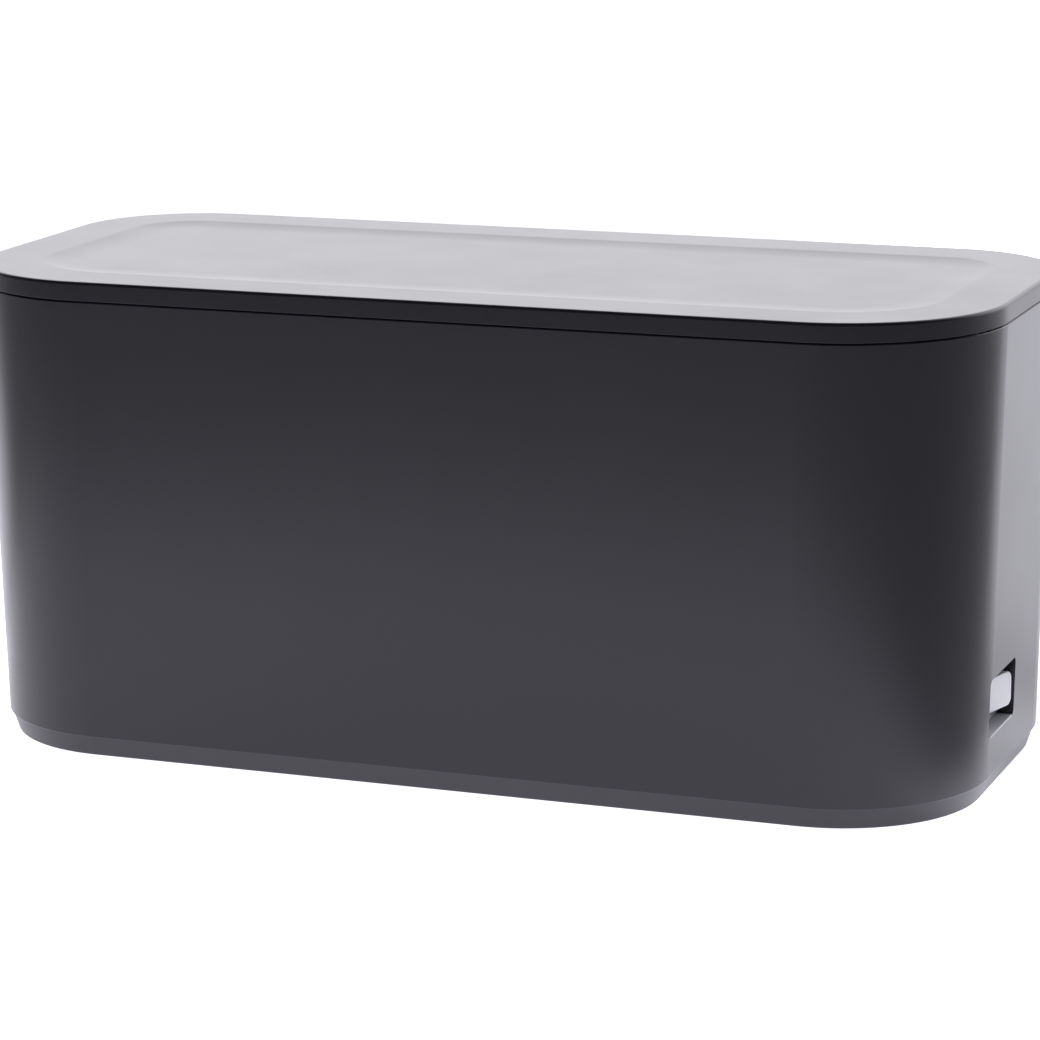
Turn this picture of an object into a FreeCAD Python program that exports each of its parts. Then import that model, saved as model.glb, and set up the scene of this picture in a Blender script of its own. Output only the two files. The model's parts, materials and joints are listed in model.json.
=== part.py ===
import FreeCAD, Part
import math
import os

Vector = FreeCAD.Vector
os.makedirs("parts", exist_ok=True)

# outside form, worked out from the photograph
body_length = 320.0
body_depth = 143.4
front_corner_radius = 48.8
rear_corner_radius = 38.1
foot_standoff = 0.8
ledge_rise = 6.2
seam_rise = 141.6
lid_thickness = 5.3
wall_draft = 3.46
wall = 3.0
seam_gap = 0.4
rim_round = 0.6
cutter_overrun = 1.0

# base tray
plinth_step = 0.6
plinth_slope_run = 2.05
plinth_round = 0.8
floor_thickness = 3.0
tray_rim_width = 5.0
tab_length = 22.0
tab_thickness = 1.8
tab_rise = 4.0
tab_clearance = 0.2
long_side_tab_x = 80.0
end_tab_y = 20.0

# shell bosses, feet and base screws
boss_radius = 4.5
boss_set_in = 6.2
boss_height = 26.0
boss_web = 2.0
boss_pad_radius = 6.5
foot_radius = 7.0
foot_thickness = 2.0
foot_edge = 0.5
foot_set_in = 22.5
screw_shank_radius = 1.5
screw_hole_radius = 1.8
screw_head_radius = 3.2
screw_head_height = 1.8
screw_recess_radius = 3.6
screw_recess_depth = 2.2
screw_drive_width = 0.9
screw_drive_length = 3.6
screw_drive_depth = 0.7
base_screw_length = 14.0

# cut-out for the switch on the right end
opening_from_front = 62.9
opening_z = 28.05
opening_width = 30.5
opening_height = 17.9
opening_corner = 2.0
frame_depth = 0.9
frame_width = 1.6
shelf_reach = 4.4
shelf_thickness = 2.0

# cable outlet on the left end
outlet_z = 23.0
outlet_width = 46.0
outlet_height = 20.0
outlet_corner = 6.0

# lid
lid_edge_round = 1.2
lid_draft = 0.15
lid_pocket_depth = 1.5
lid_lip_clearance = 0.4
lid_lip_thickness = 2.0
lid_lip_depth = 6.0
recess_depth = 0.6
recess_rim_inset = 17.8
recess_wall_width = 12.5
recess_width_shares = (0.0, 0.08, 0.20, 0.36, 0.56, 0.78, 1.0)
recess_depth_shares = (0.0, 0.09, 0.32, 0.58, 0.80, 0.95, 1.0)

# rocker switch
rocker_angle = 8.0
rocker_half_length = 14.0
rocker_half_height = 5.25
rocker_face_reach = 3.0
rocker_back_reach = 1.5
rocker_edge_round = 0.5
rocker_corner = 2.4
pivot_setback = 7.2
trunnion_radius = 1.0
trunnion_overhang = 0.95
running_clearance = 0.05
finger_width = 3.0
finger_height = 5.0
finger_reach = 7.0
rocker_clearance = 0.4
rocker_swing_room = 0.8
bezel_setback = 4.8
bezel_width = 1.2
bezel_thickness = 3.0
bezel_edge_round = 0.4
collar_wall = 0.8
collar_length = 5.3
switch_base_length = 16.0
finger_slot_depth = 2.5
finger_slot_room = 1.6
tab_blade_width = 6.3
tab_blade_thickness = 0.8
tab_blade_length = 9.0
tab_blade_root = 1.5
tab_blade_spacing = 7.0

# socket strip
strip_width = 54.0
strip_half_height = 20.05
cord_room = 48.4
strip_wall = 2.2
strip_face = 2.4
strip_corner = 6.0
strip_edge_round = 2.0
socket_pitch = 38.0
first_socket_reach = 24.0
switch_room = 60.0
slot_spacing = 12.7
slot_length = 8.0
slot_width = 2.0
slot_offset = 4.5
earth_hole_radius = 2.4
earth_hole_offset = -7.0
web_thickness = 2.0
bar_height = 7.0
bar_thickness = 1.0
bar_drop = 6.0
clip_root = 1.6
clip_length = 7.0
clip_thickness = 0.6
clip_gap = 1.8
earth_clip_gap = 4.4
bar_end_room = 10.0
strip_boss_radius = 4.0
strip_boss_rise = 7.0
strip_screw_length = 11.0
cover_boss_radius = 3.6
cover_screw_length = 24.0
cover_screw_reach = 6.0
cover_screw_setback = 49.0
cover_screw_inset = 8.0
cradle_thickness = 3.0
cradle_keeper = 2.5
cradle_keeper_rise = 10.0
cradle_gap = 0.3
cradle_set_in = 18.0

# cord gland
gland_neck_radius = 5.0
gland_collar_radius = 8.0
gland_collar_length = 2.5
gland_tip_radius = 5.2
gland_length = 18.0
gland_bore_radius = 3.5

# heights and stations that follow from the sizes above
base_z = foot_standoff
ledge_z = base_z + ledge_rise
seam_z = base_z + seam_rise
rim_z = seam_z - seam_gap
top_z = seam_z + lid_thickness
floor_z = base_z + floor_thickness
opening_y = opening_from_front - body_depth / 2


# how far the drafted wall has moved in from the rim outline at a height
def wall_inset(z):
    return wall_draft * (seam_z - z) / (seam_z - ledge_z)


outer_x = body_length / 2 - wall_inset(opening_z)
inner_x = outer_x - wall
pivot_x = outer_x - pivot_setback
bezel_x = outer_x - bezel_setback
strip_end_x = bezel_x - bezel_thickness
strip_start_x = cord_room - inner_x
collar_end_x = strip_end_x - collar_length
strip_bottom_z = opening_z - strip_half_height
strip_top_z = opening_z + strip_half_height
rocker_fall = rocker_half_length * math.tan(math.radians(rocker_angle))
bar_top_z = strip_top_z - strip_face - bar_drop
bar_bottom_z = bar_top_z - bar_height
socket_steps = int((strip_end_x - strip_start_x - first_socket_reach - switch_room) // socket_pitch)


# quarter round of an outline, starting at an angle
def corner_arc(cx, cy, radius, start, z):
    points = []
    for turn in (0, 45, 90):
        angle = math.radians(start + turn)
        points.append(Vector(cx + radius * math.cos(angle), cy + radius * math.sin(angle), z))
    return Part.Arc(*points).toShape()


# box outline moved in by an inset, with the tighter corners at the rear
def outline(inset, z):
    front_x = body_length / 2 - front_corner_radius
    front_y = body_depth / 2 - front_corner_radius
    rear_x = body_length / 2 - rear_corner_radius
    rear_y = body_depth / 2 - rear_corner_radius
    front = front_corner_radius - inset
    rear = rear_corner_radius - inset
    arcs = [
        corner_arc(front_x, -front_y, front, -90, z),
        corner_arc(rear_x, rear_y, rear, 0, z),
        corner_arc(-rear_x, rear_y, rear, 90, z),
        corner_arc(-front_x, -front_y, front, 180, z),
    ]
    edges = []
    for this, following in zip(arcs, arcs[1:] + arcs[:1]):
        edges.append(this)
        edges.append(Part.makeLine(this.Vertexes[-1].Point, following.Vertexes[0].Point))
    return Part.Wire(edges)


# solid between outlines given as pairs of inset and height
def band(*sections):
    wires = [outline(inset, z) for inset, z in sections]
    return Part.makeLoft(wires, True, True)


def block(x0, x1, y0, y1, z0, z1):
    return Part.makeBox(x1 - x0, y1 - y0, z1 - z0, Vector(x0, y0, z0))


def post(radius, x, y, z0, z1):
    return Part.makeCylinder(radius, z1 - z0, Vector(x, y, z0))


# block whose edges along one axis are rounded
def rounded_block(x0, x1, y0, y1, z0, z1, radius, axis):
    solid = block(x0, x1, y0, y1, z0, z1)
    along = [e for e in solid.Edges if abs(e.tangentAt(e.FirstParameter).dot(axis)) > 0.9]
    return solid.makeFillet(radius, along)


# rounded plate square to X about the switch centre, its corners concentric with the rocker's
def switch_plate(x0, x1, half_length, half_height):
    corner = rocker_corner + half_height - rocker_half_height
    return rounded_block(x0, x1, opening_y - half_length, opening_y + half_length,
                         opening_z - half_height, opening_z + half_height, corner, Vector(1, 0, 0))


# edges of a solid that lie wholly at one height
def edges_at_height(solid, z):
    flat = []
    for edge in solid.Edges:
        box = edge.BoundBox
        if abs(box.ZMin - z) < rim_round / 100 and abs(box.ZMax - z) < rim_round / 100:
            flat.append(edge)
    return flat


# edges of a solid that lie wholly at one station along X
def edges_at_station(solid, x):
    flat = []
    for edge in solid.Edges:
        box = edge.BoundBox
        if abs(box.XMin - x) < rim_round / 100 and abs(box.XMax - x) < rim_round / 100:
            flat.append(edge)
    return flat


# point on the diagonal of a corner, set in from the shell's inner face
def corner_point(side_x, side_y, set_in):
    radius = front_corner_radius if side_y < 0 else rear_corner_radius
    reach = (radius - wall_inset(floor_z) - wall - set_in) * math.sqrt(0.5)
    x = side_x * (body_length / 2 - radius + reach)
    y = side_y * (body_depth / 2 - radius + reach)
    return x, y


corners = {
    "front_left": (-1, -1),
    "front_right": (1, -1),
    "rear_left": (-1, 1),
    "rear_right": (1, 1),
}


# screw standing head down, its head seat at a height
def screw(x, y, seat_z, length):
    head = post(screw_head_radius, x, y, seat_z - screw_head_height, seat_z)
    bottom = edges_at_height(head, seat_z - screw_head_height)
    head = head.makeFillet(screw_drive_depth, bottom)
    shank = post(screw_shank_radius, x, y, seat_z, seat_z + length)
    tip = edges_at_height(shank, seat_z + length)
    shank = shank.makeChamfer(screw_drive_depth, tip)
    body = head.fuse(shank)
    for turn in (0, 90):
        slot = block(-screw_drive_length / 2, screw_drive_length / 2,
                     -screw_drive_width / 2, screw_drive_width / 2, 0, screw_drive_depth)
        slot.rotate(Vector(0, 0, 0), Vector(0, 0, 1), turn)
        slot.translate(Vector(x, y, seat_z - screw_head_height))
        body = body.cut(slot)
    return body


# clearance hole with a recess for the screw head, cut upwards from the underside
def screw_way(x, y, top):
    recess = post(screw_recess_radius, x, y, base_z - cutter_overrun, base_z + screw_recess_depth)
    hole = post(screw_hole_radius, x, y, base_z, top + cutter_overrun)
    return recess.fuse(hole)


# boss in a shell corner with the web that ties it to the wall
def shell_boss(side_x, side_y):
    x, y = corner_point(side_x, side_y, boss_set_in)
    boss = post(boss_radius, x, y, ledge_z, ledge_z + boss_height)
    web = block(0, boss_set_in + wall / 2, -boss_web / 2, boss_web / 2, ledge_z, ledge_z + boss_height)
    web.rotate(Vector(0, 0, 0), Vector(0, 0, 1), math.degrees(math.atan2(side_y, side_x)))
    web.translate(Vector(x, y, 0))
    pilot = post(screw_shank_radius, x, y, ledge_z - cutter_overrun, base_z + screw_recess_depth + base_screw_length)
    return boss.fuse(web), pilot


# frame that thickens the wall round an opening on one end
def opening_frame(side, z, width, height, corner):
    face = inner_x - frame_depth
    spread = frame_width
    x0, x1 = sorted((side * face, side * (inner_x + wall / 2)))
    return rounded_block(x0, x1, opening_y - width / 2 - spread, opening_y + width / 2 + spread,
                         z - height / 2 - spread, z + height / 2 + spread, corner + spread, Vector(1, 0, 0))


# tool that cuts the opening right through the wall and the frame
def opening_cutter(side, z, width, height, corner):
    x0, x1 = sorted((side * (inner_x - frame_depth - cutter_overrun), side * (body_length / 2 + cutter_overrun)))
    return rounded_block(x0, x1, opening_y - width / 2, opening_y + width / 2,
                         z - height / 2, z + height / 2, corner, Vector(1, 0, 0))


def make_box_shell():
    outside = band((wall_inset(ledge_z), ledge_z), (wall_inset(rim_z), rim_z))
    inset_low = wall_inset(ledge_z - cutter_overrun) + wall
    inset_high = wall_inset(rim_z + cutter_overrun) + wall
    inside = band((inset_low, ledge_z - cutter_overrun), (inset_high, rim_z + cutter_overrun))
    outside = outside.makeFillet(rim_round, edges_at_height(outside, rim_z) + edges_at_height(outside, ledge_z))
    shell = outside.cut(inside)
    shell = shell.fuse(opening_frame(1, opening_z, opening_width, opening_height, opening_corner))
    shell = shell.fuse(opening_frame(-1, outlet_z, outlet_width, outlet_height, outlet_corner))
    sill_z = opening_z - opening_height / 2
    shelf = block(inner_x - shelf_reach, inner_x + wall / 2, opening_y - opening_width / 2,
                  opening_y + opening_width / 2, sill_z - shelf_thickness, sill_z)
    shell = shell.fuse(shelf)
    for side_x, side_y in corners.values():
        boss, pilot = shell_boss(side_x, side_y)
        shell = shell.fuse(boss).cut(pilot)
    shell = shell.cut(opening_cutter(1, opening_z, opening_width, opening_height, opening_corner))
    shell = shell.cut(opening_cutter(-1, outlet_z, outlet_width, outlet_height, outlet_corner))
    return shell.removeSplitter()


# tabs that stand just inside the shell wall and keep the shell in line
def locating_tabs():
    inset = wall_draft + wall + tab_clearance
    side_y = body_depth / 2 - inset
    side_x = body_length / 2 - inset
    half = tab_length / 2
    tabs = []
    for x in (-long_side_tab_x, long_side_tab_x):
        for side in (-1, 1):
            y0, y1 = sorted((side * side_y, side * (side_y - tab_thickness)))
            tabs.append(block(x - half, x + half, y0, y1, floor_z, ledge_z + tab_rise))
    for side in (-1, 1):
        x0, x1 = sorted((side * side_x, side * (side_x - tab_thickness)))
        tabs.append(block(x0, x1, end_tab_y - half, end_tab_y + half, floor_z, ledge_z + tab_rise))
    return tabs


# cross rib with two keepers that carries the socket strip
def cradle(x):
    x0 = x - cradle_thickness / 2
    x1 = x + cradle_thickness / 2
    reach = strip_width / 2 + cradle_gap
    rib = block(x0, x1, opening_y - reach - cradle_keeper, opening_y + reach + cradle_keeper, floor_z, strip_bottom_z)
    for side in (-1, 1):
        y0, y1 = sorted((opening_y + side * reach, opening_y + side * (reach + cradle_keeper)))
        rib = rib.fuse(block(x0, x1, y0, y1, floor_z, strip_bottom_z + cradle_keeper_rise))
    return rib


def make_base_tray():
    inset = wall_draft + plinth_step
    tray = band((inset + plinth_slope_run, base_z), (inset, ledge_z))
    tray = tray.makeFillet(plinth_round, edges_at_height(tray, base_z))
    pocket = band((inset + tray_rim_width, floor_z), (inset + tray_rim_width, ledge_z + cutter_overrun))
    tray = tray.cut(pocket)
    for tab in locating_tabs():
        tray = tray.fuse(tab)
    for x in (strip_start_x + cradle_set_in, (strip_start_x + strip_end_x) / 2, strip_end_x - cradle_set_in):
        tray = tray.fuse(cradle(x))
    for side_x, side_y in corners.values():
        x, y = corner_point(side_x, side_y, boss_set_in)
        tray = tray.fuse(post(boss_pad_radius, x, y, floor_z, ledge_z)).cut(screw_way(x, y, ledge_z))
        x, y = corner_point(side_x, side_y, foot_set_in)
        tray = tray.cut(post(foot_radius, x, y, base_z - cutter_overrun, foot_thickness))
    for x in strip_screw_places():
        pad = post(boss_pad_radius, x, opening_y, floor_z, strip_bottom_z)
        tray = tray.fuse(pad).cut(screw_way(x, opening_y, strip_bottom_z))
    return tray.removeSplitter()


def make_foot(side_x, side_y):
    x, y = corner_point(side_x, side_y, foot_set_in)
    foot = post(foot_radius, x, y, 0, foot_thickness)
    return foot.makeFillet(foot_edge, edges_at_height(foot, 0))


# rounded strip housing half, hollow from its split face
def strip_half(z0, z1, face_at_top):
    y0 = opening_y - strip_width / 2
    y1 = opening_y + strip_width / 2
    up = Vector(0, 0, 1)
    half = rounded_block(strip_start_x, strip_end_x, y0, y1, z0, z1, strip_corner, up)
    outer_z = z1 if face_at_top else z0
    half = half.makeFillet(strip_edge_round, edges_at_height(half, outer_z))
    low = z0 - cutter_overrun if face_at_top else z0 + strip_face
    high = z1 - strip_face if face_at_top else z1 + cutter_overrun
    hollow = rounded_block(strip_start_x + strip_wall, strip_end_x - strip_wall, y0 + strip_wall,
                           y1 - strip_wall, low, high, strip_corner - strip_wall, up)
    return half.cut(hollow)


# holes in the two ends of the strip for the switch collar and the gland neck
def strip_end_cutters():
    switch = switch_plate(strip_end_x - strip_wall - cutter_overrun, strip_end_x + cutter_overrun,
                     rocker_half_length + rocker_swing_room + collar_wall,
                     rocker_half_height + rocker_clearance + collar_wall)
    gland = Part.makeCylinder(gland_neck_radius, strip_wall + cutter_overrun * 2,
                              Vector(strip_start_x - cutter_overrun, opening_y, opening_z), Vector(1, 0, 0))
    return switch.fuse(gland)


def cover_screw_places():
    near_x = strip_start_x + cover_screw_reach
    far_x = strip_end_x - cover_screw_setback
    side = strip_width / 2 - cover_screw_inset
    return (near_x, -side), (near_x, side), (far_x, -side), (far_x, side)


def socket_places():
    return [strip_start_x + first_socket_reach + index * socket_pitch for index in range(socket_steps + 1)]


# midway between the first two and the last two sockets
def strip_screw_places():
    places = socket_places()
    return places[0] + socket_pitch / 2, places[-1] - socket_pitch / 2


def make_strip_lower_housing():
    half = strip_half(strip_bottom_z, opening_z, False)
    inside_z = strip_bottom_z + strip_face
    reach = strip_width / 2 - strip_wall
    for x in socket_places()[:-1]:
        middle = x + socket_pitch / 2
        x0 = middle - web_thickness / 2
        x1 = middle + web_thickness / 2
        half = half.fuse(block(x0, x1, opening_y - reach, opening_y + reach, inside_z, opening_z))
        half = half.fuse(block(x0, x1, opening_y - slot_spacing, opening_y + slot_spacing, inside_z, bar_bottom_z))
    for x in strip_screw_places():
        boss = post(strip_boss_radius, x, opening_y, inside_z, inside_z + strip_boss_rise)
        pilot = post(screw_shank_radius, x, opening_y, strip_bottom_z - cutter_overrun,
                     base_z + screw_recess_depth + strip_screw_length)
        half = half.fuse(boss).cut(pilot)
    for x, side in cover_screw_places():
        sleeve = post(cover_boss_radius + strip_wall / 2, x, opening_y + side, inside_z, opening_z)
        way = post(screw_hole_radius, x, opening_y + side, strip_bottom_z, opening_z + cutter_overrun)
        head = post(screw_recess_radius, x, opening_y + side, strip_bottom_z - cutter_overrun,
                    strip_bottom_z + screw_recess_depth)
        half = half.fuse(sleeve).cut(way).cut(head)
    return half.cut(strip_end_cutters()).removeSplitter()


# blade slots and earth hole of one socket
def socket_cutters(x):
    low = strip_top_z - strip_face - cutter_overrun
    high = strip_top_z + cutter_overrun
    cutters = []
    for side in (-1, 1):
        y = opening_y + side * slot_spacing / 2
        cutters.append(block(x + slot_offset - slot_length / 2, x + slot_offset + slot_length / 2,
                             y - slot_width / 2, y + slot_width / 2, low, high))
    cutters.append(post(earth_hole_radius, x + earth_hole_offset, opening_y, low, high))
    return cutters


def make_strip_upper_housing():
    half = strip_half(opening_z, strip_top_z, True)
    for x, side in cover_screw_places():
        boss = post(cover_boss_radius, x, opening_y + side, opening_z, strip_top_z - strip_face)
        pilot = post(screw_shank_radius, x, opening_y + side, opening_z - cutter_overrun,
                     strip_bottom_z + screw_recess_depth + cover_screw_length)
        half = half.fuse(boss).cut(pilot)
    for x in socket_places():
        for cutter in socket_cutters(x):
            half = half.cut(cutter)
    return half.cut(strip_end_cutters()).removeSplitter()


# bar with a pair of spring leaves under each socket
def make_bar(y, clip_x, gap):
    x0 = socket_places()[0] - bar_end_room
    x1 = socket_places()[-1] + bar_end_room
    bar = block(x0, x1, y - bar_thickness / 2, y + bar_thickness / 2, bar_bottom_z, bar_top_z)
    for x in socket_places():
        centre = x + clip_x
        seat = block(centre - clip_length / 2, centre + clip_length / 2, y - gap / 2 - clip_thickness,
                     y + gap / 2 + clip_thickness, bar_bottom_z, bar_top_z)
        room = block(centre - clip_length, centre + clip_length, y - gap / 2, y + gap / 2,
                     bar_bottom_z + clip_root, bar_top_z + cutter_overrun)
        bar = bar.cut(seat).fuse(seat.cut(room))
    return bar.removeSplitter()


def make_switch_bezel():
    hole_length = rocker_half_length + rocker_swing_room
    hole_height = rocker_half_height + rocker_clearance
    # the plate reaches down to the shelf of the cut-out
    flange = rounded_block(strip_end_x, bezel_x, opening_y - hole_length - bezel_width, opening_y + hole_length + bezel_width,
                           opening_z - opening_height / 2 + rocker_clearance, opening_z + hole_height + bezel_width,
                           rocker_corner, Vector(1, 0, 0))
    flange = flange.makeFillet(bezel_edge_round, edges_at_station(flange, bezel_x))
    collar = switch_plate(collar_end_x, strip_end_x, hole_length + collar_wall, hole_height + collar_wall)
    ring = flange.fuse(collar).cut(switch_plate(collar_end_x - cutter_overrun, bezel_x + cutter_overrun,
                                           hole_length, hole_height))
    pin_reach = rocker_half_height + trunnion_overhang + running_clearance
    pin_way = post(trunnion_radius + running_clearance, pivot_x, opening_y,
                   opening_z - pin_reach, opening_z + pin_reach)
    return ring.cut(pin_way).removeSplitter()


def make_switch_base():
    hole_length = rocker_half_length + rocker_swing_room
    hole_height = rocker_half_height + rocker_clearance
    base = switch_plate(collar_end_x - switch_base_length, collar_end_x, hole_length + collar_wall, hole_height + collar_wall)
    slot = block(collar_end_x - finger_slot_depth, collar_end_x + cutter_overrun,
                 opening_y - finger_width / 2 - finger_slot_room, opening_y + finger_width / 2 + finger_slot_room,
                 opening_z - finger_height / 2 - rocker_clearance, opening_z + finger_height / 2 + rocker_clearance)
    base = base.cut(slot)
    for side in (-1, 1):
        base = base.cut(terminal_blade(side))
    return base


# flat push-on blade that leaves the back of the switch base
def terminal_blade(side):
    back = collar_end_x - switch_base_length
    y = opening_y + side * tab_blade_spacing
    return block(back - tab_blade_length, back + tab_blade_root, y - tab_blade_thickness / 2,
                 y + tab_blade_thickness / 2, opening_z - tab_blade_width / 2, opening_z + tab_blade_width / 2)


# rocker drawn square to the strip, then tipped so that its rear end stands out
def make_switch_rocker():
    low = opening_z - rocker_half_height
    face = pivot_x + rocker_face_reach
    back = pivot_x - rocker_back_reach
    profile = [
        Vector(face + rocker_fall, opening_y - rocker_half_length, low),
        Vector(face, opening_y, low),
        Vector(face + rocker_fall, opening_y + rocker_half_length, low),
        Vector(back, opening_y + rocker_half_length, low),
        Vector(back, opening_y - rocker_half_length, low),
    ]
    paddle = Part.Face(Part.makePolygon(profile + profile[:1])).extrude(Vector(0, 0, rocker_half_height * 2))
    reach = face + rocker_fall
    paddle = paddle.common(switch_plate(back, reach, rocker_half_length, rocker_half_height))
    front = [e for e in paddle.Edges if e.BoundBox.XMin > face - rim_round and e.BoundBox.YLength > rim_round
             and abs(e.CenterOfMass.y - opening_y) > rim_round]
    paddle = paddle.makeFillet(rocker_edge_round, front)
    pin_reach = rocker_half_height + trunnion_overhang
    paddle = paddle.fuse(post(trunnion_radius, pivot_x, opening_y, opening_z - pin_reach, opening_z + pin_reach))
    finger = block(pivot_x - finger_reach, pivot_x, opening_y - finger_width / 2, opening_y + finger_width / 2,
                   opening_z - finger_height / 2, opening_z + finger_height / 2)
    rocker = paddle.fuse(finger).removeSplitter()
    rocker.rotate(Vector(pivot_x, opening_y, 0), Vector(0, 0, 1), -rocker_angle)
    return rocker


def make_cord_gland():
    along = Vector(-1, 0, 0)
    start = Vector(strip_start_x, opening_y, opening_z)
    neck = Part.makeCylinder(gland_neck_radius, strip_wall, Vector(strip_start_x, opening_y, opening_z), Vector(1, 0, 0))
    collar = Part.makeCylinder(gland_collar_radius, gland_collar_length, start, along)
    sleeve = Part.makeCone(gland_collar_radius, gland_tip_radius, gland_length, start, along)
    bore = Part.makeCylinder(gland_bore_radius, strip_wall + gland_length + cutter_overrun * 2,
                             Vector(strip_start_x + strip_wall + cutter_overrun, opening_y, opening_z), along)
    return neck.fuse(collar).fuse(sleeve).cut(bore).removeSplitter()


def make_lid_cover():
    lid = band((0, seam_z), (lid_draft, top_z))
    lid = lid.makeFillet(lid_edge_round, edges_at_height(lid, top_z))
    lid = lid.makeFillet(rim_round, edges_at_height(lid, seam_z))
    lid = lid.cut(band((wall, seam_z - cutter_overrun), (wall, seam_z + lid_pocket_depth)))
    lip_low = seam_z - lid_lip_depth
    lip_top = seam_z + lid_pocket_depth
    clear = wall + lid_lip_clearance
    lip = band((wall_inset(lip_low) + clear, lip_low), (wall_inset(seam_z) + clear, seam_z),
               (wall_inset(seam_z) + clear, lip_top))
    behind = clear + lid_lip_thickness
    lip = lip.cut(band((wall_inset(lip_low) + behind, lip_low - cutter_overrun),
                       (wall_inset(lip_low) + behind, lip_top + cutter_overrun)))
    lid = lid.fuse(lip)
    # dished wall: steepest just inside the rim, easing out to the flat floor
    steps = [(recess_rim_inset, top_z + cutter_overrun)]
    for width_share, depth_share in zip(recess_width_shares, recess_depth_shares):
        steps.append((recess_rim_inset + recess_wall_width * width_share, top_z - recess_depth * depth_share))
    return lid.cut(band(*reversed(steps))).removeSplitter()


def save(name, shape):
    shape.exportStep("parts/" + name + ".step")


save("box_shell", make_box_shell())
save("base_tray", make_base_tray())
for name, (side_x, side_y) in corners.items():
    save("foot_" + name, make_foot(side_x, side_y))
    boss_x, boss_y = corner_point(side_x, side_y, boss_set_in)
    save("base_screw_" + name, screw(boss_x, boss_y, base_z + screw_recess_depth, base_screw_length))
for side, strip_x in zip(("left", "right"), strip_screw_places()):
    save("strip_screw_" + side, screw(strip_x, opening_y, base_z + screw_recess_depth, strip_screw_length))
for number, (cover_x, cover_side) in enumerate(cover_screw_places(), 1):
    seat = strip_bottom_z + screw_recess_depth
    save("cover_screw_" + str(number), screw(cover_x, opening_y + cover_side, seat, cover_screw_length))
save("strip_lower_housing", make_strip_lower_housing())
save("strip_upper_housing", make_strip_upper_housing())
save("live_bar", make_bar(opening_y - slot_spacing / 2, slot_offset, clip_gap))
save("neutral_bar", make_bar(opening_y + slot_spacing / 2, slot_offset, clip_gap))
save("earth_bar", make_bar(opening_y, earth_hole_offset, earth_clip_gap))
save("switch_bezel", make_switch_bezel())
save("switch_base", make_switch_base())
save("switch_blade_in", terminal_blade(-1))
save("switch_blade_out", terminal_blade(1))
save("cord_gland", make_cord_gland())
save("lid_cover", make_lid_cover())
save("switch_rocker", make_switch_rocker())
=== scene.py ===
import json
import bpy
import numpy as np
from mathutils import Matrix, Vector


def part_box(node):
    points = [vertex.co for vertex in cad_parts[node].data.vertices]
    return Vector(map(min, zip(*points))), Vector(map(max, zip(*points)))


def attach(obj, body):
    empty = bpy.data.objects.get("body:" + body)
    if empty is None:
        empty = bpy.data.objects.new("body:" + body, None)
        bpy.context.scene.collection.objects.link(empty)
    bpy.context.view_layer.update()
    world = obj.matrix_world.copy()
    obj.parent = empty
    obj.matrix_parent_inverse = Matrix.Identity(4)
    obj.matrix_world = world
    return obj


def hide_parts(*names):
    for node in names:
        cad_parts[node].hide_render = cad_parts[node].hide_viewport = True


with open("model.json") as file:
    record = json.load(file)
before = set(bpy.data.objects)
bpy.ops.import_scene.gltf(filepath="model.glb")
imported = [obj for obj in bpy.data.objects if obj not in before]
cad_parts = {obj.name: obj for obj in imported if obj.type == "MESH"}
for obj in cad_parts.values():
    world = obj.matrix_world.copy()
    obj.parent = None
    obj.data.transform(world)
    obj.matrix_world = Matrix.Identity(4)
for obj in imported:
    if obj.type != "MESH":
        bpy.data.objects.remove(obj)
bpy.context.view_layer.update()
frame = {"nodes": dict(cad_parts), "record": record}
nodes = frame["nodes"]
mm = 0.001
print("frame loaded:", len(nodes), "nodes")


# what a user would change in each plastic, rubber and metal; the shell's reflection fades out between two heights
# (m), a painted shade on its rim under the lid's seam
finishes = {
    "shell": {"colour": (0.0100, 0.0094, 0.0160), "rough": 0.30, "grain": 2600,
             "bump": 0.10, "mottle": 0.05, "dust": 0.10, "seamShadeFrom": 0.1413, "seamShadeTo": 0.1416},
    "lid": {"colour": (0.0100, 0.0094, 0.0160), "rough": 0.33, "grain": 2600,
             "bump": 0.09, "mottle": 0.05, "dust": 0.10},
    # painted light: the base is the shell's black plastic made about three times lighter, so the plinth band reads as
    # lit by the floor
    "basePaintedLighter": {"colour": (0.0280, 0.0272, 0.0340), "rough": 0.36, "grain": 2600,
             "bump": 0.12, "mottle": 0.06, "dust": 0.16},
    "strip": {"colour": (0.075, 0.075, 0.078), "rough": 0.42, "grain": 2200,
             "bump": 0.14, "mottle": 0.06, "dust": 0.20},
    "switch": {"colour": (0.010, 0.010, 0.011), "rough": 0.50, "grain": 2200,
             "bump": 0.10, "mottle": 0.06, "dust": 0.10},
    "bezel": {"colour": (0.44, 0.45, 0.47), "rough": 0.26, "grain": 3000,
             "bump": 0.04, "mottle": 0.04, "dust": 0.05},
    "rocker": {"colour": (0.93, 0.94, 0.97), "rough": 0.30, "grain": 3000,
             "bump": 0.04, "mottle": 0.04, "dust": 0.05},
    "foot": {"colour": (0.014, 0.014, 0.014), "rough": 0.75, "grain": 1500,
             "bump": 0.30, "mottle": 0.15, "dust": 0.30},
    "gland": {"colour": (0.012, 0.012, 0.012), "rough": 0.62, "grain": 1500,
             "bump": 0.20, "mottle": 0.12, "dust": 0.20},
    "brass": {"colour": (0.72, 0.52, 0.22), "rough": 0.30, "grain": 1800,
             "bump": 0.08, "mottle": 0.16, "metal": 1.0},
    "steel": {"colour": (0.52, 0.52, 0.53), "rough": 0.30, "grain": 1800,
             "bump": 0.08, "mottle": 0.16, "metal": 1.0},
}
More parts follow.
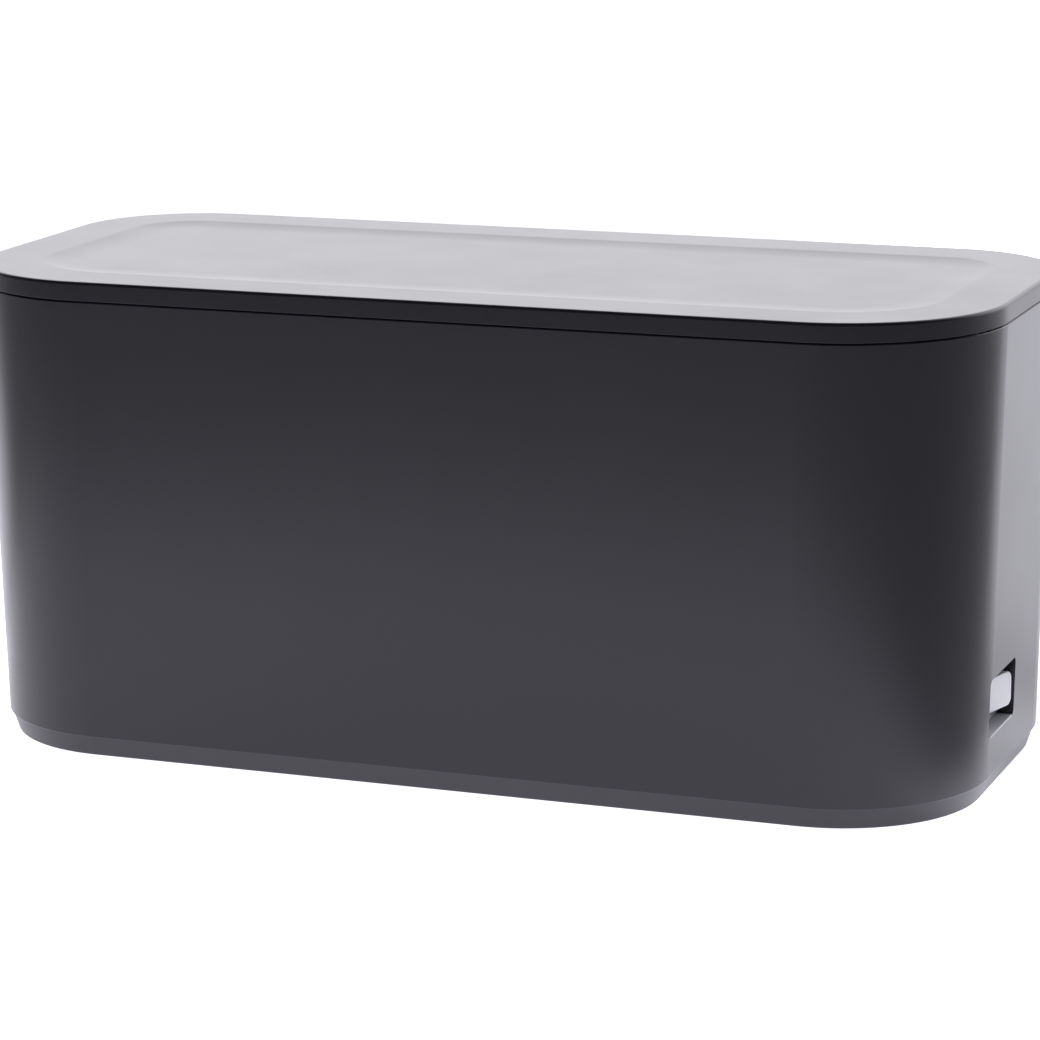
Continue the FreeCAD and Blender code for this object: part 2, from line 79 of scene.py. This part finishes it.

# what all finishes share: texture scales and details, the dust's range and lightening, the grain's depth in mm,
# and the strength of the reflection on the gloss and on the rim's painted seam shade
texture = {
    "grainDetail": 3.0, "mottleScale": 38.0, "mottleDetail": 5.0, "patchScale": 9.0, "patchDetail": 3.0,
    "dustFrom": 0.22, "dustTo": 0.50, "dustGain": 1.6, "dustLift": 0.01,
    "roughGain": 2, "grainDepth": 0.05, "glossLevel": 0.5, "seamShadeLevel": 0.06,
}


def addNode(tree, kind, **values):
    node = tree.nodes.new(kind)
    for name, value in values.items():
        if name.startswith("in_"):
            node.inputs[name[3:].replace("_", " ")].default_value = value
        else:
            setattr(node, name, value)
    return node


# Spark-eroded plastic, rubber or metal: a fine grain in bump and gloss, soft mottling and a trace of dust.
def mouldedFinish(name):
    look = finishes[name]
    material = bpy.data.materials.new(name + " finish")
    material.use_nodes = True
    tree = material.node_tree
    link = tree.links.new
    shader = tree.nodes["Principled BSDF"]
    shader.inputs["Metallic"].default_value = look.get("metal", 0.0)
    place = addNode(tree, "ShaderNodeTexCoord")
    grain = addNode(tree, "ShaderNodeTexNoise", in_Scale=look["grain"], in_Detail=texture["grainDetail"])
    mottle = addNode(tree, "ShaderNodeTexNoise", in_Scale=texture["mottleScale"], in_Detail=texture["mottleDetail"])
    patches = addNode(tree, "ShaderNodeTexNoise", in_Scale=texture["patchScale"], in_Detail=texture["patchDetail"])
    for noise in (grain, mottle, patches):
        link(place.outputs["Object"], noise.inputs["Vector"])

    # colour: base colour, lightened by dust where the mottle and the patches are both strong
    dustLine = addNode(tree, "ShaderNodeMath", operation="MULTIPLY")
    link(mottle.outputs["Fac"], dustLine.inputs[0])
    link(patches.outputs["Fac"], dustLine.inputs[1])
    dustRange = addNode(tree, "ShaderNodeMapRange")
    dustRange.inputs["From Min"].default_value = texture["dustFrom"]
    dustRange.inputs["From Max"].default_value = texture["dustTo"]
    dustRange.inputs["To Max"].default_value = look.get("dust", 0.0)
    link(dustLine.outputs[0], dustRange.inputs["Value"])
    colour = addNode(tree, "ShaderNodeMix", data_type="RGBA")
    dusty = [min(1, c * texture["dustGain"] + texture["dustLift"]) for c in look["colour"]]
    colour.inputs["A"].default_value = (*look["colour"], 1)
    colour.inputs["B"].default_value = (*dusty, 1)
    link(dustRange.outputs["Result"], colour.inputs["Factor"])
    link(colour.outputs["Result"], shader.inputs["Base Color"])

    # gloss: the roughness drifts over the surface with the mottle
    rough = addNode(tree, "ShaderNodeMapRange")
    rough.inputs["To Min"].default_value = look["rough"] * (1 - look["mottle"])
    rough.inputs["To Max"].default_value = look["rough"] * (1 + look["mottle"] * texture["roughGain"])
    link(mottle.outputs["Fac"], rough.inputs["Value"])
    link(rough.outputs["Result"], shader.inputs["Roughness"])

    # painted shade on the rim: between the two heights the reflection fades out, so the shell's upper edge under the
    # lid's seam stays dark
    if "seamShadeFrom" in look:
        height = addNode(tree, "ShaderNodeSeparateXYZ")
        link(place.outputs["Object"], height.inputs["Vector"])
        seamShade = addNode(tree, "ShaderNodeMapRange")
        seamShade.inputs["From Min"].default_value = look["seamShadeFrom"]
        seamShade.inputs["From Max"].default_value = look["seamShadeTo"]
        seamShade.inputs["To Min"].default_value = texture["glossLevel"]
        seamShade.inputs["To Max"].default_value = texture["seamShadeLevel"]
        link(height.outputs["Z"], seamShade.inputs["Value"])
        link(seamShade.outputs["Result"], shader.inputs["Specular IOR Level"])

    bump = addNode(tree, "ShaderNodeBump", in_Strength=look["bump"], in_Distance=texture["grainDepth"] * mm)
    link(grain.outputs["Fac"], bump.inputs["Height"])
    link(bump.outputs["Normal"], shader.inputs["Normal"])
    return material


slotFinish = {
    "shell_plastic": "shell", "base_plastic": "basePaintedLighter", "lid_plastic": "lid", "foot_rubber": "foot",
    "screw_steel": "steel", "strip_plastic": "strip", "contact_brass": "brass", "bezel_plastic": "bezel",
    "switch_plastic": "switch", "rocker_plastic": "rocker", "gland_rubber": "gland",
}
finishOf = {name: mouldedFinish(name) for name in finishes}
slotOf = {part["node"]: part["material_slot"] for part in frame["record"]["subparts"]}
for name, node in nodes.items():
    node.data.materials.clear()
    node.data.materials.append(finishOf[slotFinish[slotOf[name]]])
print("finishes set:", len(finishOf))


# Stations round a plan outline: centre of curvature x and y, radius and outward angle, corner by corner.
# On a straight run the angle holds still while the centre slides from one corner's centre to the next.
def outlinePath(low, high, frontRadius, rearRadius, arcSteps, sideSteps):
    radius = np.array([frontRadius, rearRadius, rearRadius, frontRadius])
    centreX = np.array([high[0], high[0], low[0], low[0]]) + radius * (-1, -1, 1, 1)
    centreY = np.array([low[1], high[1], high[1], low[1]]) + radius * (1, -1, -1, 1)
    turn = np.linspace(0, 1, arcSteps)
    angle = (np.arange(4)[:, None] + turn - 1) * np.pi / 2
    spread = np.ones_like(turn)
    arcs = np.stack([np.outer(centreX, spread), np.outer(centreY, spread), np.outer(radius, spread), angle], axis=-1)
    start, end = arcs[:, -1], np.roll(arcs[:, 0], -1, axis=0)
    end = np.column_stack([end[:, :3], start[:, 3]])
    share = np.linspace(0, 1, sideSteps + 2)[1:-1, None]
    sides = start[:, None] + (end - start)[:, None] * share
    return np.concatenate([arcs, sides], axis=1).reshape(-1, 4)


# Points of a profile of (inset, height) pairs carried round the stations:
# centre + (radius - inset) * outward, and the height.
def carry(profile, stations):
    profile = np.asarray(profile, dtype=float)
    reach = stations[:, 2] - profile[:, :1]
    x = stations[:, 0] + reach * np.cos(stations[:, 3])
    y = stations[:, 1] + reach * np.sin(stations[:, 3])
    return np.stack([x, y, np.repeat(profile[:, 1:], len(stations), axis=1)], axis=-1)


# Arc of a profile: centre + radius * (cos a, sin a), a from start to end in degrees.
def roundOver(centre, radius, start, end, steps):
    a = np.radians(np.linspace(start, end, steps))
    return np.column_stack([centre[0] + radius * np.cos(a), centre[1] + radius * np.sin(a)])


# Mesh of a grid of rings, closed round each ring. Quads run ring by ring, and the first and last rings are capped.
def skin(name, grid):
    rings, around = grid.shape[:2]
    index = np.arange(rings * around).reshape(rings, around)
    inner, outer = index[:-1], index[1:]
    quads = np.stack([inner, outer, np.roll(outer, -1, axis=1), np.roll(inner, -1, axis=1)], axis=-1).reshape(-1, 4)
    faces = quads.tolist() + [index[0].tolist(), index[-1][::-1].tolist()]
    mesh = bpy.data.meshes.new(name)
    mesh.from_pydata(grid.reshape(-1, 3).tolist(), [], faces)
    mesh.polygons.foreach_set("use_smooth", np.ones(len(mesh.polygons), dtype=bool))
    mesh.update()
    piece = bpy.data.objects.new(name, mesh)
    bpy.context.collection.objects.link(piece)
    return piece


# lengths in millimetres; plan size and heights come from the frame's own lid
lidForm = {
    "frontRadius": 48.8, "rearRadius": 38.1, "arcSteps": 30, "sideSteps": 22,
    "edgeRound": 1.0, "edgeSteps": 9, "lowerRound": 0.15, "lowerSteps": 6, "topMargin": 1.5, "topSteps": 8,
    "seamDrop": 5.3, "seamOverhang": 0.34, "draft": 0.15,
    "recessInset": 17.8, "recessWidth": 12.5, "recessDepth": 0.6, "recessRim": 0.12, "recessSteps": 28,
    "skirt": 3.0, "pocket": 1.5, "pocketReach": 8.0, "lipInset": 3.4, "lipThick": 2.0, "lipDraft": 0.15,
    "evenWeight": 100,
}


# Dished wall of the recess, from its floor up to its rim. Over the share u of its width, counted from the rim,
# the depth is u^2 / rim up to the rim's share and 1 - (1 - u)^2 / (1 - rim) after it.
def recessProfile(top):
    rim = lidForm["recessRim"]
    share = np.linspace(0, 1, lidForm["recessSteps"])
    fall = np.where(share < rim, share ** 2 / rim, 1 - (1 - share) ** 2 / (1 - rim))
    inset = lidForm["recessInset"] + lidForm["recessWidth"] * share
    return np.column_stack([inset, top - lidForm["recessDepth"] * fall])[::-1]


# Profile from the recess over the top, down the side and round the lip, carried round the lid's outline.
def makeLid():
    low, high = (np.array(corner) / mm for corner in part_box("lid_cover"))
    top, lipEnd = high[2], low[2]
    seam = top - lidForm["seamDrop"] - lidForm["seamOverhang"]
    inner = seam + lidForm["pocket"]
    edge, lower, draft = lidForm["edgeRound"], lidForm["lowerRound"], lidForm["draft"]
    lipOut = lidForm["lipInset"]
    lipIn = lipOut + lidForm["lipThick"]
    flatFrom = lidForm["recessInset"] - lidForm["topMargin"]
    flatTo = edge + draft + lidForm["topMargin"]
    profile = np.vstack([
        recessProfile(top),
        np.column_stack([np.linspace(flatFrom, flatTo, lidForm["topSteps"]), np.full(lidForm["topSteps"], top)]),
        roundOver((edge + draft, top - edge), edge, 90, 180, lidForm["edgeSteps"]),
        roundOver((lower, seam + lower), lower, 180, 270, lidForm["lowerSteps"]),
        [(lidForm["skirt"], seam), (lidForm["skirt"], inner), (lipOut, inner), (lipOut + lidForm["lipDraft"], lipEnd),
         (lipIn, lipEnd), (lipIn, inner), (lipIn + lidForm["pocketReach"], inner)],
    ])
    path = outlinePath(low, high, lidForm["frontRadius"], lidForm["rearRadius"],
                       lidForm["arcSteps"], lidForm["sideSteps"])
    lid = skin("lid", carry(profile, path) * mm)
    lid.data.materials.append(finishOf["lid"])
    even = lid.modifiers.new("even shading", "WEIGHTED_NORMAL")
    even.weight = lidForm["evenWeight"]
    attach(lid, "lid")
    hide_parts("lid_cover")


makeLid()
print("lid made")


# light apron of the switch's frame, lying on the sill of the cut-out: lengths in millimetres
apronForm = {
    "thickness": 0.45, "lift": 0.05, "faceInset": 0.25, "overlap": 0.2, "sideRoom": 2.1,
    "round": 0.2, "roundSteps": 6, "sill": 19.1, "corner": 0.6, "cornerSteps": 6, "sideSteps": 4,
}


# Flat plate from the frame's face out to the wall, carried from its rounded upper edge down to its underside.
def makeApron():
    plateLow, plateHigh = (np.array(corner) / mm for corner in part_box("switch_bezel"))
    rockerHigh = np.array(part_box("switch_rocker")[1]) / mm
    low = np.array([plateHigh[0] - apronForm["overlap"], plateLow[1] + apronForm["sideRoom"]])
    high = np.array([rockerHigh[0] + apronForm["faceInset"], plateHigh[1] - apronForm["sideRoom"]])
    bottom = apronForm["sill"] + apronForm["lift"]
    top, soft = bottom + apronForm["thickness"], apronForm["round"]
    profile = np.vstack([roundOver((soft, top - soft), soft, 90, 180, apronForm["roundSteps"]), [(0, bottom)]])
    corner = apronForm["corner"]
    path = outlinePath(low, high, corner, corner, apronForm["cornerSteps"], apronForm["sideSteps"])
    apron = skin("switch_frame_apron", carry(profile, path) * mm)
    apron.data.materials.append(finishOf["bezel"])
    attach(apron, "box")


makeApron()
print("apron made")


# strength of the light tent's sides, of the sheet behind the box that rises between two direction values,
# of the painted pools of light in the floor's emission (centre, half sizes, width of the soft edge as a share) and of
# the lamp above
studio = {
    "floorColour": (0.90, 0.90, 0.90), "floorReach": 12.0, "floorRough": 0.9, "floorGloss": 0.1,
    "sideGlow": 0.06, "backGlow": 2.32, "backAim": (0.0, 1.0, 0.0), "backFrom": 0.30, "backTo": 0.66,
    "tint": (0.985, 0.98, 1.025),
    # painted pools of light laid into the floor as emission; the last one paints out the box's shadow beside its
    # right end
    "paintedLightPools": [
        {"centre": (-0.095, -0.155), "half": (0.345, 0.21), "edge": 0.3, "paintedLightStrength": 1.14},
        {"centre": (0.13, 1.02), "half": (0.31, 0.915), "edge": 0.3, "paintedLightStrength": 1.28},
        {"centre": (-1.70, 1.85), "half": (3.60, 1.50), "edge": 0.35, "paintedLightStrength": 0.58},
        {"centre": (-0.40, 0.20), "half": (0.34, 0.19), "edge": 0.65, "paintedLightStrength": 1.50},
        {"centre": (0.172, 0.015), "half": (0.022, 0.080), "edge": 1.0, "paintedLightStrength": 0.90},
    ],
    "lamps": [
        {"name": "lamp over the box", "place": (-0.20, -0.35, 1.6), "aim": (-0.06, -0.02, 0.0),
         "pool": 0.60, "edge": 0.6, "power": 14.0, "size": 0.25},
    ],
    "lampTint": (0.965, 0.96, 1.06),
}


# sky of a light tent: dim sides, and a bright sheet that rises with the direction's share along its aim
def paintStudio():
    world = bpy.data.worlds.new("light tent")
    bpy.context.scene.world = world
    world.use_nodes = True
    tree = world.node_tree
    link = tree.links.new
    place = addNode(tree, "ShaderNodeTexCoord")
    along = addNode(tree, "ShaderNodeVectorMath", operation="DOT_PRODUCT")
    along.inputs[1].default_value = studio["backAim"]
    link(place.outputs["Generated"], along.inputs[0])
    sheet = addNode(tree, "ShaderNodeMapRange", interpolation_type="SMOOTHSTEP")
    sheet.inputs["From Min"].default_value = studio["backFrom"]
    sheet.inputs["From Max"].default_value = studio["backTo"]
    sheet.inputs["To Min"].default_value = studio["sideGlow"]
    sheet.inputs["To Max"].default_value = studio["sideGlow"] + studio["backGlow"]
    link(along.outputs["Value"], sheet.inputs["Value"])
    link(sheet.outputs["Result"], tree.nodes["Background"].inputs["Strength"])
    tree.nodes["Background"].inputs["Color"].default_value = (*studio["tint"], 1)


# painted light on the floor: each painted pool of light is full inside its oval and fades over its edge, and the
# pools add up
def addPaintedLightPools(tree):
    link = tree.links.new
    place = addNode(tree, "ShaderNodeTexCoord")
    total = None
    for pool in studio["paintedLightPools"]:
        oval = addNode(tree, "ShaderNodeMapping", vector_type="TEXTURE")
        oval.inputs["Location"].default_value = (*pool["centre"], 0)
        oval.inputs["Scale"].default_value = (*pool["half"], 1)
        link(place.outputs["Object"], oval.inputs["Vector"])
        reach = addNode(tree, "ShaderNodeVectorMath", operation="LENGTH")
        link(oval.outputs["Vector"], reach.inputs[0])
        fade = addNode(tree, "ShaderNodeMapRange", interpolation_type="SMOOTHSTEP")
        fade.inputs["From Min"].default_value = 1 + pool["edge"] / 2
        fade.inputs["From Max"].default_value = 1 - pool["edge"] / 2
        fade.inputs["To Max"].default_value = pool["paintedLightStrength"]
        link(reach.outputs["Value"], fade.inputs["Value"])
        if total is None:
            total = fade.outputs["Result"]
        else:
            both = addNode(tree, "ShaderNodeMath", operation="ADD")
            link(total, both.inputs[0])
            link(fade.outputs["Result"], both.inputs[1])
            total = both.outputs[0]
    return total


# plain pale floor at the height of the feet, with painted pools of light glowing in its emission where the pools lie
def layFloor():
    reach = studio["floorReach"]
    mesh = bpy.data.meshes.new("floor")
    corners = [(-reach, -reach, 0), (reach, -reach, 0), (reach, reach, 0), (-reach, reach, 0)]
    mesh.from_pydata(corners, [], [(0, 1, 2, 3)])
    floor = bpy.data.objects.new("floor", mesh)
    bpy.context.collection.objects.link(floor)
    material = bpy.data.materials.new("pale floor with painted light")
    material.use_nodes = True
    link = material.node_tree.links.new
    shader = material.node_tree.nodes["Principled BSDF"]
    shader.inputs["Base Color"].default_value = (*studio["floorColour"], 1)
    shader.inputs["Roughness"].default_value = studio["floorRough"]
    shader.inputs["Specular IOR Level"].default_value = studio["floorGloss"]
    shader.inputs["Emission Color"].default_value = (*studio["lampTint"], 1)
    # the painted pools of light drive the floor's emission strength
    link(addPaintedLightPools(material.node_tree), shader.inputs["Emission Strength"])
    mesh.materials.append(material)


# soft lamps that look down: each lights a pool of the floor, out of the camera's sight
def hangLamps():
    for form in studio["lamps"]:
        place, aim = Vector(form["place"]), Vector(form["aim"])
        lamp = bpy.data.lights.new(form["name"], "SPOT")
        lamp.energy = form["power"]
        lamp.color = studio["lampTint"]
        lamp.shadow_soft_size = form["size"]
        lamp.spot_size = 2 * np.arctan(form["pool"] / (aim - place).length)
        lamp.spot_blend = form["edge"]
        light = bpy.data.objects.new(form["name"], lamp)
        light.location = place
        light.rotation_euler = (aim - place).to_track_quat("-Z", "Y").to_euler()
        light.visible_camera = False
        light.visible_glossy = False
        bpy.context.collection.objects.link(light)


paintStudio()
layFloor()
hangLamps()
bpy.context.scene.view_settings.view_transform = "Standard"
print("studio lit")


# the camera fitted to the photograph: angles in degrees, lengths in metres, focal length in pixels
# of the square frame, and the sensor's width in millimetres
photoCamera = {
    "azimuth": 20.752, "elevation": 12.79, "roll": -0.461, "distance": 1.18783, "clipStart": 0.01,
    "target": (0.00316, 0.0, 0.06850), "focalPixels": 3877.36, "framePixels": 1040, "sensor": 36.0,
}


def setCamera():
    az, el, roll = np.radians([photoCamera[k] for k in ("azimuth", "elevation", "roll")])
    back = np.array([np.sin(az) * np.cos(el), -np.cos(az) * np.cos(el), np.sin(el)])
    right = np.cross(-back, (0, 0, 1))
    right /= np.linalg.norm(right)
    up = np.cross(right, -back)
    rolledRight = right * np.cos(roll) + up * np.sin(roll)
    rolledUp = -right * np.sin(roll) + up * np.cos(roll)
    lens = bpy.data.cameras.new("photo camera")
    lens.sensor_width = photoCamera["sensor"]
    lens.lens = photoCamera["focalPixels"] / photoCamera["framePixels"] * photoCamera["sensor"]
    lens.clip_start = photoCamera["clipStart"]
    camera = bpy.data.objects.new("photo camera", lens)
    bpy.context.collection.objects.link(camera)
    place = np.array(photoCamera["target"]) + back * photoCamera["distance"]
    turn = np.eye(4)
    turn[:3, 0], turn[:3, 1], turn[:3, 2], turn[:3, 3] = rolledRight, rolledUp, back, place
    camera.matrix_world = Matrix(turn.tolist())
    bpy.context.scene.camera = camera


setCamera()
print("camera set")
